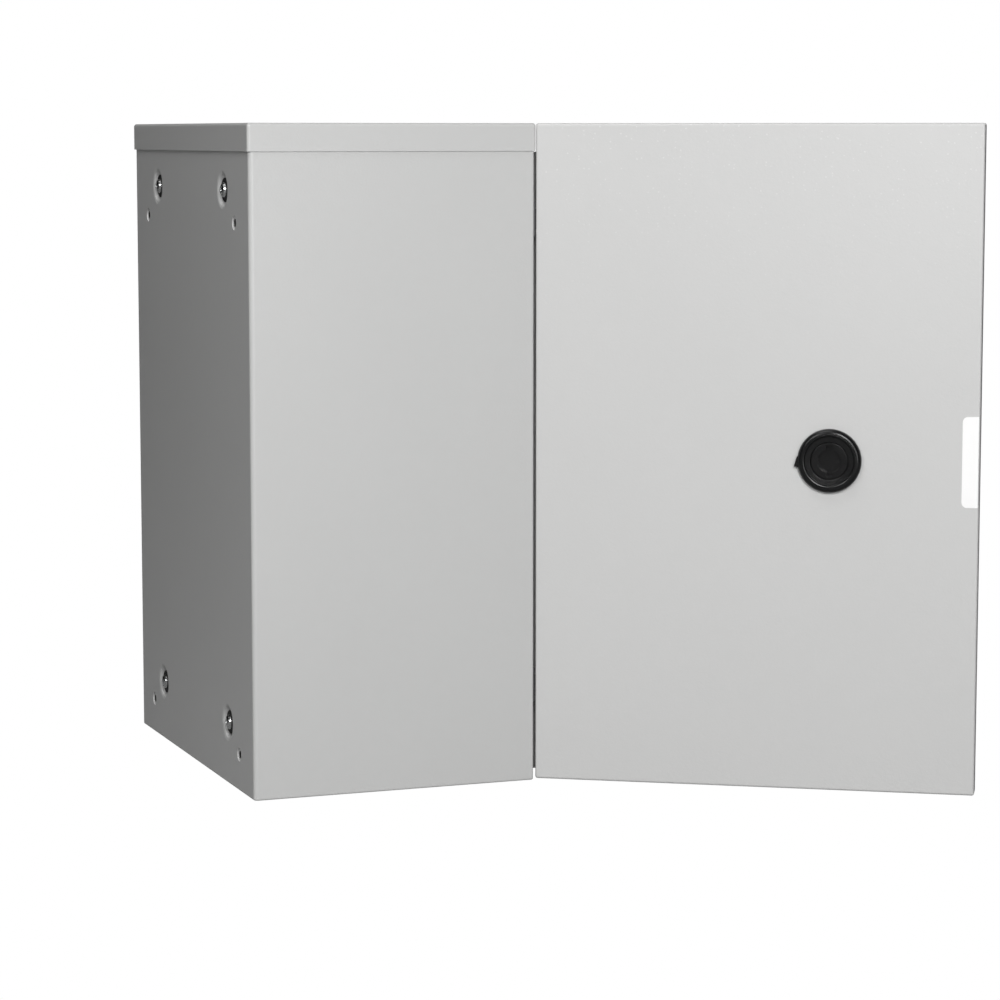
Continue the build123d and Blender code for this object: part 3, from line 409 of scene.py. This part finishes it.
def powder_coat(name, colour, gloss, peel_depth, nibs, bores=None):
    """Semi-gloss powder coat with a rolling skin, its nibs thicker towards the top, and white painted glints on
    the nibs that also grow towards the top.

    Bores, where given, are (axes, radius, pitch) of threaded holes that the paint doesn't reach, coloured
    near-black inside as painted shade of the holes.
    """
    material, tree, shader = start_material(name, Specular_IOR_Level=0.5, IOR=1.5)
    spot = place(tree, "ShaderNodeSeparateXYZ")
    feed(tree, local_point(tree), spot.inputs[0])
    # the nibs' bump and their painted white glints: thin low down, full near the top
    nib_bump_and_painted_glint_share = remap(tree, spot.outputs["Z"], NIB_BUMPS_AND_GLINTS_THIN_BELOW, NIB_BUMPS_AND_GLINTS_FULL_ABOVE, THIN_SHARE * nibs, nibs)
    skin = use(tree, ORANGE_PEEL, Cells=520.0, Grain=2300.0, Grain_Share=0.06, Nibs=520.0,
               Nib_Share=nib_bump_and_painted_glint_share)
    worn = use(tree, EDGE_WEAR, Width=1.1 * MM, Break_Up=260.0)["Mask"]
    dust = use(tree, SETTLED_DUST, Amount=0.22, Patch=16.0)["Mask"]
    marks = use(tree, FINE_SCRATCHES, Density=0.35, Scale=44.0)["Mask"]
    tone = use(tree, CLOUDY_TONE, Scale=9.0, Amount=0.045)["Tone"]
    paint = shaded(tree, colour, tone)
    paint = tint(tree, partly(tree, worn, 0.18), paint, scaled(colour, 1.22))
    paint = tint(tree, partly(tree, marks, 0.25), paint, scaled(colour, 0.8))
    paint = tint(tree, dust, paint, DUST)
    # painted glints: the nibs are tinted white, more so towards the top, standing in for the flash's glints in the
    # paint
    painted_glint_nibs = calc(tree, "MULTIPLY", skin["Nib"], partly(tree, nib_bump_and_painted_glint_share, 0.5))
    paint = tint(tree, painted_glint_nibs, paint, NIB_PAINTED_GLINT_WHITE)
    rough = calc(tree, "MULTIPLY_ADD", skin["Nib"], -0.02, gloss)
    rough = calc(tree, "MULTIPLY_ADD", dust, 0.3, rough)
    rough = calc(tree, "MULTIPLY_ADD", marks, 0.12, rough)
    height = skin["Height"]
    if bores:
        inside, thread = threaded_bores(tree, *bores)
        # painted shade: the bores' inside is coloured near-black
        paint = tint(tree, inside, paint, BORE_PAINTED_SHADE)
        height = calc(tree, "MULTIPLY_ADD", calc(tree, "MULTIPLY", thread, inside), 4.0, height)
    feed(tree, paint, shader["Base Color"])
    feed(tree, rough, shader["Roughness"])
    feed(tree, raise_surface(tree, height, depth=peel_depth, distance=1.2 * MM), shader["Normal"])
    return material


ZINC_GREY = (0.50, 0.515, 0.53)
ZINC_RUBBED = (0.72, 0.73, 0.74)
ZINC_SCRATCHED = (0.70, 0.71, 0.72)
ZINC_DUSTY = (0.42, 0.40, 0.37)


def galvanised_sheet(name):
    """Hot-dip galvanised sheet with a soft spangle."""
    material, tree, shader = start_material(name, Metallic=1.0)
    crystal = use(tree, SPANGLE, Scale=95.0, Contrast=0.22)
    worn = use(tree, EDGE_WEAR, Width=0.8 * MM, Break_Up=420.0)["Mask"]
    marks = use(tree, FINE_SCRATCHES, Density=0.8, Scale=52.0)["Mask"]
    dust = use(tree, SETTLED_DUST, Amount=0.25, Patch=22.0)["Mask"]
    zinc = shaded(tree, ZINC_GREY, crystal["Tone"])
    zinc = tint(tree, partly(tree, worn, 0.5), zinc, ZINC_RUBBED)
    zinc = tint(tree, partly(tree, marks, 0.6), zinc, ZINC_SCRATCHED)
    feed(tree, tint(tree, dust, zinc, ZINC_DUSTY), shader["Base Color"])
    feed(tree, calc(tree, "MULTIPLY_ADD", crystal["Dull"], 0.16, 0.38), shader["Roughness"])
    feed(tree, raise_surface(tree, crystal["Height"], depth=0.12, distance=0.6 * MM), shader["Normal"])
    return material


def zinc_plate(name, colour, roughness, rubbed=(0.86, 0.86, 0.84)):
    """Zinc plating over turned or pressed steel, brighter where its edges have been rubbed."""
    material, tree, shader = start_material(name, Metallic=1.0)
    grit = use(tree, GRIT, Scale=1900.0)
    tone = use(tree, CLOUDY_TONE, Scale=70.0, Amount=0.22)["Tone"]
    worn = use(tree, EDGE_WEAR, Width=0.4 * MM, Break_Up=900.0)["Mask"]
    plated = shaded(tree, colour, tone)
    feed(tree, tint(tree, partly(tree, worn, 0.55), plated, rubbed),
         shader["Base Color"])
    feed(tree, calc(tree, "MULTIPLY_ADD", grit["Speck"], 0.14, roughness), shader["Roughness"])
    feed(tree, raise_surface(tree, grit["Height"], depth=0.10, distance=0.3 * MM,
                             under=soft_edges(tree, 0.3 * MM)), shader["Normal"])
    return material


RUBBER_DUSTY = (0.30, 0.29, 0.27)


def rubber(name, colour, roughness, scale):
    """Matt moulded rubber, greyed by dust on top."""
    material, tree, shader = start_material(name, Specular_IOR_Level=0.35)
    grit = use(tree, GRIT, Scale=scale)
    dust = use(tree, SETTLED_DUST, Amount=0.35, Patch=60.0)["Mask"]
    tone = use(tree, CLOUDY_TONE, Scale=40.0, Amount=0.5)["Tone"]
    skin = shaded(tree, colour, tone)
    feed(tree, tint(tree, dust, skin, RUBBER_DUSTY), shader["Base Color"])
    feed(tree, calc(tree, "MULTIPLY_ADD", grit["Speck"], 0.12, roughness), shader["Roughness"])
    feed(tree, raise_surface(tree, grit["Height"], depth=0.25, distance=0.4 * MM,
                             under=soft_edges(tree, 0.3 * MM)), shader["Normal"])
    return material


def foam(name, colour):
    """Closed-skin polyurethane foam, with open pinholes here and there, darkened in colour as painted shade in
    them.
    """
    material, tree, shader = start_material(name, Specular_IOR_Level=0.3)
    where = local_point(tree)
    cells = place(tree, "ShaderNodeTexVoronoi", feature="SMOOTH_F1", voronoi_dimensions="3D")
    feed(tree, where, cells.inputs["Vector"])
    cells.inputs["Scale"].default_value = 1300.0
    pinholes = remap(tree, noise(tree, where, 800.0, 1.0), 0.68, 0.76)
    tone = use(tree, CLOUDY_TONE, Scale=60.0, Amount=0.4)["Tone"]
    skin = shaded(tree, colour, tone)
    # painted shade: the pinholes are coloured a quarter as bright as the skin
    feed(tree, tint(tree, pinholes, skin, scaled(colour, 0.25)), shader["Base Color"])
    feed(tree, remap(tree, pinholes, 0.0, 1.0, 0.62, 0.9), shader["Roughness"])
    height = calc(tree, "SUBTRACT", cells.outputs["Distance"], calc(tree, "MULTIPLY", pinholes, 0.8))
    feed(tree, raise_surface(tree, height, depth=0.35, distance=0.5 * MM), shader["Normal"])
    return material


NYLON_SCRATCHED = (0.10, 0.10, 0.10)


def lock_nylon(name, colour):
    """Black glass-filled nylon: satin, with a faint moulded grit and rubbed edges."""
    material, tree, shader = start_material(name, Specular_IOR_Level=0.32)
    grit = use(tree, GRIT, Scale=1500.0)
    worn = use(tree, EDGE_WEAR, Width=0.5 * MM, Break_Up=600.0)["Mask"]
    marks = use(tree, FINE_SCRATCHES, Density=0.6, Scale=120.0)["Mask"]
    tone = use(tree, CLOUDY_TONE, Scale=90.0, Amount=0.35)["Tone"]
    body = shaded(tree, colour, tone)
    body = tint(tree, partly(tree, worn, 0.25), body, scaled(colour, 3.0))
    feed(tree, tint(tree, partly(tree, marks, 0.3), body, NYLON_SCRATCHED),
         shader["Base Color"])
    rough = calc(tree, "MULTIPLY_ADD", grit["Speck"], 0.08, 0.22)
    feed(tree, calc(tree, "MULTIPLY_ADD", worn, -0.08, rough), shader["Roughness"])
    feed(tree, raise_surface(tree, grit["Height"], depth=0.16, distance=0.3 * MM,
                             under=soft_edges(tree, 0.4 * MM)), shader["Normal"])
    return material


FILM_WHITE = (0.955, 0.955, 0.95)
FILM_WORN = (0.75, 0.74, 0.72)


def label_film(name):
    """Blank white film, a little yellowed where its edges have worn."""
    material, tree, shader = start_material(name, Specular_IOR_Level=0.5)
    fibres = use(tree, GRIT, Scale=2600.0)
    tone = use(tree, CLOUDY_TONE, Scale=50.0, Amount=0.02)["Tone"]
    worn = use(tree, EDGE_WEAR, Width=0.4 * MM, Break_Up=700.0)["Mask"]
    film = shaded(tree, FILM_WHITE, tone)
    feed(tree, tint(tree, partly(tree, worn, 0.2), film, FILM_WORN), shader["Base Color"])
    feed(tree, calc(tree, "MULTIPLY_ADD", fibres["Speck"], 0.08, 0.38), shader["Roughness"])
    feed(tree, raise_surface(tree, fibres["Height"], depth=0.08, distance=0.2 * MM), shader["Normal"])
    return material


M4_RADIUS, M4_PITCH = 2.0 * MM, 0.7 * MM
M5_RADIUS, M5_PITCH = 2.5 * MM, 0.8 * MM
M6_RADIUS, M6_PITCH = 3.0 * MM, 1.0 * MM
M6_TAPPING_RADIUS = 2.5 * MM
INSERT_AXES = []
for solid in separate_solids("wall_bracket_inserts"):
    insert_foot = rod_ends(solid, Vector((0, 1, 0)))[0]
    INSERT_AXES.append((insert_foot.x, insert_foot.z))

CABINET_GREY = (0.565, 0.567, 0.562)
DOOR_GREY = (0.60, 0.60, 0.595)
FINISHES = {
    "cabinet_powder_coat": powder_coat("cabinet powder coat", CABINET_GREY, 0.32, 0.07, 0.0),
    "door_powder_coat": powder_coat("door powder coat with painted glints", DOOR_GREY, 0.30, 0.07, 0.45),
    "painted_inserts": powder_coat("powder coat on inserts, bores in painted shade", CABINET_GREY, 0.32, 0.07, 0.0,
                                   (INSERT_AXES, M6_TAPPING_RADIUS, M6_PITCH)),
    "galvanised_plate": galvanised_sheet("galvanised sheet"),
    "zinc_fasteners": zinc_plate("bright zinc fasteners", (0.66, 0.67, 0.67), 0.24),
    # the hinges are coloured near-black, dark grey where rubbed: painted shade that keeps the gap between door and
    # body dark, over zinc-plated pressed steel
    "zinc_hinges": zinc_plate("hinge steel darkened as painted shade", (0.15, 0.15, 0.155), 0.46, (0.30, 0.30, 0.295)),
    "copper_flashed_studs": zinc_plate("copper-flashed stud", (0.72, 0.43, 0.30), 0.28),
    "black_rubber": rubber("black rubber", (0.018, 0.018, 0.018), 0.62, 1300.0),
    "grey_foam": foam("dark foam", (0.055, 0.055, 0.057)),
    "black_lock_plastic": lock_nylon("black nylon", (0.006, 0.006, 0.0062)),
    "white_label": label_film("blank label film"),
}

for part in RECORD["subparts"]:
    finish = FINISHES[part["material_slot"]]
    for material_slot in NODES[part["node"]].material_slots:
        material_slot.material = finish


# ================================================================ mesh helpers
def mesh_piece(name, verts, faces, slot, body):
    """A new piece from its points and faces, finished from a material slot and riding on a body."""
    mesh = bpy.data.meshes.new(name)
    mesh.from_pydata([tuple(v) for v in verts], [], faces)
    mesh.validate()
    cleaned = bmesh.new()
    cleaned.from_mesh(mesh)
    bmesh.ops.recalc_face_normals(cleaned, faces=cleaned.faces)
    cleaned.to_mesh(mesh)
    cleaned.free()
    mesh.polygons.foreach_set("use_smooth", [True] * len(mesh.polygons))
    piece = bpy.data.objects.new(name, mesh)
    bpy.context.scene.collection.objects.link(piece)
    mesh.materials.append(FINISHES[slot])
    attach(piece, body)
    return piece


def frame_along(axis):
    """Two directions square to an axis."""
    axis = Vector(axis).normalized()
    side = axis.orthogonal().normalized()
    return side, axis.cross(side)


THREAD_DEPTH = 0.6          # depth of a thread as a share of its pitch
FLANK_STEEPNESS = 1.35      # above 1, so that crest and root are flat
ROOT_WIDTH = 0.15
LEAD_SHARE = 0.7            # length of that chamfer as a share of the pitch
LEAD_SLOPE = 0.9            # how fast the chamfer at a rod's end takes the thread away
ROWS_PER_TURN = 8
ROUND_STEPS = 36


def thread_rows(radius, pitch, length, lead):
    """Rows of (height, function of angle giving radius) for a screw thread with chamfered ends."""
    steps = max(ROWS_PER_TURN, int(round(length / pitch * ROWS_PER_TURN)))
    depth = THREAD_DEPTH * pitch
    rows = []
    for row in range(steps + 1):
        height = length * row / steps
        room = min(height, length - height)
        limit = radius - max(0.0, lead - room) * LEAD_SLOPE

        def reach(angle, height=height, limit=limit):
            phase = (height / pitch - angle / (2 * math.pi)) % 1.0
            tooth = min(1.0, max(0.0, FLANK_STEEPNESS * (1 - abs(2 * phase - 1)) - ROOT_WIDTH))
            return min(limit, radius - depth * (1 - tooth))
        rows.append((height, reach))
    return rows


def threaded_rods(name, node, axis, radius, pitch, slot, body):
    """One screwed rod, with a real helical thread, in place of each solid of a node."""
    side, across = frame_along(axis)
    verts, faces = [], []
    for points in separate_solids(node):
        foot, length = rod_ends(points, axis)
        rows = thread_rows(radius, pitch, length, LEAD_SHARE * pitch)
        first = len(verts)
        for height, reach in rows:
            for step in range(ROUND_STEPS):
                angle = 2 * math.pi * step / ROUND_STEPS
                out = side * math.cos(angle) + across * math.sin(angle)
                verts.append(foot + axis * height + out * reach(angle))
        for row in range(len(rows) - 1):
            for step in range(ROUND_STEPS):
                here = first + row * ROUND_STEPS + step
                beside = first + row * ROUND_STEPS + (step + 1) % ROUND_STEPS
                faces.append((here, beside, beside + ROUND_STEPS, here + ROUND_STEPS))
        last = first + (len(rows) - 1) * ROUND_STEPS
        faces.append(tuple(range(first + ROUND_STEPS - 1, first - 1, -1)))
        faces.append(tuple(range(last, last + ROUND_STEPS)))
    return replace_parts(mesh_piece(name, verts, faces, slot, body), node)


INWARD = -DOOR_OUT
threaded_rods("cap_stud_threads", "top_cover_studs", -UP, M5_RADIUS, M5_PITCH, "zinc_fasteners", "cabinet")
threaded_rods("gland_stud_threads", "gland_plate_studs", UP, M4_RADIUS, M4_PITCH, "zinc_fasteners", "cabinet")
threaded_rods("hinge_stud_threads", "hinge_bracket_studs", INWARD, M4_RADIUS, M4_PITCH,
              "zinc_fasteners", "door")
threaded_rods("body_earth_thread", "body_earth_stud", Vector((1, 0, 0)), M6_RADIUS, M6_PITCH,
              "copper_flashed_studs", "cabinet")
threaded_rods("door_earth_thread", "door_earth_stud", INWARD, M6_RADIUS, M6_PITCH,
              "copper_flashed_studs", "door")


# ================================================================ the door's foamed gasket
BEAD_HALF = 5.0 * MM            # half the bead's width
BEAD_CORNER = 8.0 * MM          # corner radius of its centre line
BEAD_STEP = 4.0 * MM
BEAD_ROWS = 14
CORNER_STEPS = 8
CROWN_SQUARENESS = 3.2          # 2 would be an ellipse; more has a flatter top
CROWN_SHOULDER = 0.55
CROWN_HEIGHT = 0.965            # shares of the CAD gasket's height and width that the bead takes up
BEAD_WIDTH = 0.985
SWELLS = ((0.012, 95.0, 0.0), (0.010, 210.0, 1.0))      # unevenness: share, waves per metre, phase
LIP_DENT = 0.7 * MM
LIP_DENT_HALF = 0.9 * MM


def bead_outline(half_along, half_up):
    """The bead's centre line: (along, up, outward along, outward up), a rectangle with round corners."""
    bends = []
    for turn, (side_along, side_up) in enumerate(((1, -1), (1, 1), (-1, 1), (-1, -1))):
        along, up = side_along * (half_along - BEAD_CORNER), side_up * (half_up - BEAD_CORNER)
        for step in range(CORNER_STEPS + 1):
            angle = math.pi / 2 * (turn - 1 + step / CORNER_STEPS)
            out_along, out_up = math.cos(angle), math.sin(angle)
            bends.append((along + BEAD_CORNER * out_along, up + BEAD_CORNER * out_up, out_along, out_up))
    ring = []
    for i, start in enumerate(bends):
        end = bends[(i + 1) % len(bends)]
        pieces = max(1, int(math.dist(start[:2], end[:2]) / BEAD_STEP))
        for k in range(pieces):
            ring.append([a + (b - a) * k / pieces for a, b in zip(start, end)])
    return ring


def foam_bead():
    """A poured bead in the ring that the rain lip meets: domed, a little uneven, with the lip's dent."""
    points = separate_solids("door_gasket")[0]
    along, inward, upward = ([point.dot(axis) for point in points] for axis in (DOOR_ALONG, INWARD, UP))
    seat, thick = min(inward), max(inward) - min(inward)
    centre = DOOR_ALONG * middle(along) + UP * middle(upward)
    half_along, half_up = ((max(reach) - min(reach)) / 2 - BEAD_HALF for reach in (along, upward))
    ring = bead_outline(half_along, half_up)
    verts, faces = [], []
    travelled = 0.0
    for i, (x, z, out_x, out_z) in enumerate(ring):
        travelled += math.dist((x, z), ring[i - 1][:2]) if i else 0.0
        swell = sum(share * math.sin(travelled * waves + phase) for share, waves, phase in SWELLS)
        for k in range(BEAD_ROWS + 1):
            across = -1 + 2 * k / BEAD_ROWS
            crown = max(0.0, 1 - abs(across) ** CROWN_SQUARENESS) ** CROWN_SHOULDER * (CROWN_HEIGHT + swell)
            dent = LIP_DENT * math.exp(-(across * BEAD_HALF / LIP_DENT_HALF) ** 2)
            width = BEAD_HALF * (BEAD_WIDTH + 0.5 * swell) * across
            level = seat + max(0.0, thick * crown - dent)
            spot = DOOR_ALONG * (x + out_x * width) + INWARD * level + UP * (z + out_z * width)
            verts.append(centre + spot)
    around = BEAD_ROWS + 1
    for i in range(len(ring)):
        here, following = i * around, (i + 1) % len(ring) * around
        for k in range(BEAD_ROWS):
            faces.append((here + k, here + k + 1, following + k + 1, following + k))
        faces.append((here + BEAD_ROWS, here, following, following + BEAD_ROWS))
    bead = mesh_piece("door_foam_bead", verts, faces, "grey_foam", "door")
    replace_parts(bead, "door_gasket")
    return bead


foam_bead()


# ================================================================ camera
FRAME_WIDTH = 36.0              # millimetres, as is the lens
LENS = 112.75
FAR_LIMIT = 60.0
CAMERA_PLACE = Vector((-2.1298, 0.6724, 0.44205))
CAMERA_TURN = math.radians(249.31)
CAMERA_DIP = math.radians(6.646)

camera_data = bpy.data.cameras.new("camera")
camera_data.lens = LENS
camera_data.sensor_width = FRAME_WIDTH
camera_data.clip_end = FAR_LIMIT
camera = bpy.data.objects.new("camera", camera_data)
camera.location = CAMERA_PLACE
looking = Vector((-math.sin(CAMERA_TURN) * math.cos(CAMERA_DIP),
                  math.cos(CAMERA_TURN) * math.cos(CAMERA_DIP), -math.sin(CAMERA_DIP)))
camera.rotation_euler = looking.to_track_quat("-Z", "Y").to_euler()
bpy.context.scene.collection.objects.link(camera)
bpy.context.scene.camera = camera


# ================================================================ lights and floor
CENTRE = Vector((-0.08, -0.06, 0.24))


def softbox(name, place_at, width, height, watts):
    """A flat lamp aimed at the middle of the box."""
    light = bpy.data.lights.new(name, "AREA")
    light.shape = "RECTANGLE"
    light.size = width
    light.size_y = height
    light.energy = watts
    lamp = bpy.data.objects.new(name, light)
    lamp.location = place_at
    lamp.rotation_euler = (CENTRE - place_at).to_track_quat("-Z", "Y").to_euler()
    bpy.context.scene.collection.objects.link(lamp)


def round_about(turn, lift, reach):
    """A point at a distance from the box: turn is from -X towards +Y, lift is above level."""
    turn, lift = math.radians(turn), math.radians(lift)
    level = math.cos(lift) * reach
    return CENTRE + Vector((-math.cos(turn) * level, math.sin(turn) * level, math.sin(lift) * reach))


softbox("side softbox", round_about(12, 22, 2.3), 0.6, 0.6, watts=28.5)
softbox("low side softbox", round_about(0, 3, 2.3), 0.6, 0.6, watts=6.7)
softbox("back softbox", round_about(50, 22, 2.3), 0.6, 0.6, watts=10.6)
softbox("small flash", Vector((-1.93, 0.86, 0.44)), 0.07, 0.06, watts=1.1)
softbox("overhead strip", round_about(46, 60, 2.1), 0.9, 0.5, watts=5.6)
softbox("front fill", Vector((1.3, -2.4, 1.5)), 1.6, 1.4, watts=8.0)
softbox("top fill", Vector((-0.1, 0.5, 2.6)), 1.6, 1.6, watts=12.0)


def split_by_camera(tree, seen, otherwise, ending):
    """Ends a tree with one shader for what the camera sees and another for all other light."""
    ray = place(tree, "ShaderNodeLightPath")
    choice = place(tree, "ShaderNodeMixShader")
    tree.links.new(ray.outputs["Is Camera Ray"], choice.inputs[0])
    tree.links.new(otherwise.outputs[0], choice.inputs[1])
    tree.links.new(seen.outputs[0], choice.inputs[2])
    tree.links.new(choice.outputs[0], place(tree, ending).inputs["Surface"])


WHITE = (1, 1, 1, 1)
AMBIENT = 0.005
PAPER_GREY = (0.30, 0.30, 0.30, 1)
FLOOR_SIZE = 40.0
FLOOR_DROP = 0.4 * MM           # keeps the floor clear of the box's bottom edge

world = bpy.data.worlds.new("studio")
bpy.context.scene.world = world
world.use_nodes = True
sky = world.node_tree
sky.nodes.clear()
backdrop, ambient = place(sky, "ShaderNodeBackground"), place(sky, "ShaderNodeBackground")
for glow, strength in ((backdrop, 1.0), (ambient, AMBIENT)):
    glow.inputs["Color"].default_value = WHITE
    glow.inputs["Strength"].default_value = strength
split_by_camera(sky, backdrop, ambient, "ShaderNodeOutputWorld")

bpy.ops.mesh.primitive_plane_add(size=FLOOR_SIZE, location=(0, 0, -FLOOR_DROP))
floor = bpy.context.object
floor.name = "studio_floor"
paper = bpy.data.materials.new("studio paper")
paper.use_nodes = True
sheet = paper.node_tree
sheet.nodes.clear()
glow = place(sheet, "ShaderNodeEmission")
glow.inputs["Strength"].default_value = 1.0
bounce = place(sheet, "ShaderNodeBsdfDiffuse")
bounce.inputs["Color"].default_value = PAPER_GREY
split_by_camera(sheet, glow, bounce, "ShaderNodeOutputMaterial")
floor.data.materials.append(paper)

bpy.context.scene.view_settings.view_transform = "Standard"
bpy.context.scene.view_settings.look = "None"
